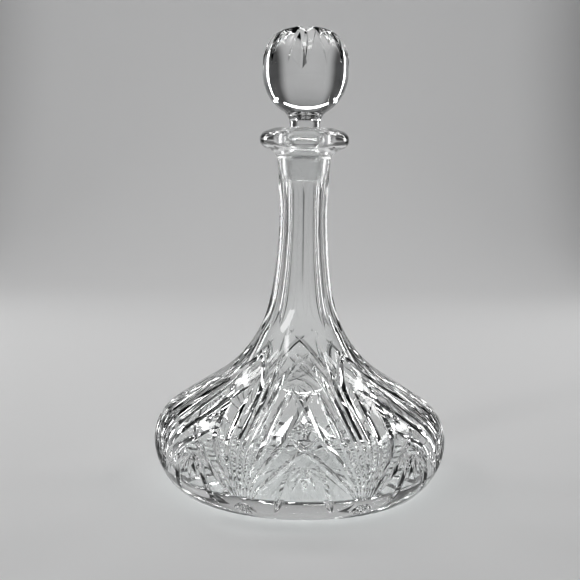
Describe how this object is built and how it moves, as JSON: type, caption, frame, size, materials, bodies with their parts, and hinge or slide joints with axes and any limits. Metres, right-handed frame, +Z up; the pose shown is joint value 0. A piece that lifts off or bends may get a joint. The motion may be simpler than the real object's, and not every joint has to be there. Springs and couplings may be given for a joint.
{
  "type": "ships decanter",
  "caption": "Cut crystal ship's decanter: wide low body with crossing mitre cuts, long fluted neck, flared lip, and a cut ball stopper whose ground plug lifts out of the mouth.",
  "frame": {"origin": "centre of the underside, on the plane that the decanter stands on", "axes": "+Z up along the neck and stopper, -Y towards the front of the pattern, +X to the viewer's right"},
  "size_m": [0.181, 0.181, 0.2762],
  "materials": {
    "body_crystal": "polished, cut",
    "stopper_crystal": "polished, cut, ground plug"
  },
  "bodies": {
    "decanter": {"decanter_body": "body_crystal"},
    "stopper": {"ball_stopper": "stopper_crystal"}
  },
  "joints": [
    {"name": "stopper_lift", "type": "slide", "parent": "decanter", "child": "stopper", "axis": [0, 0, 1], "range_m": [0, 0.06]}
  ]
}
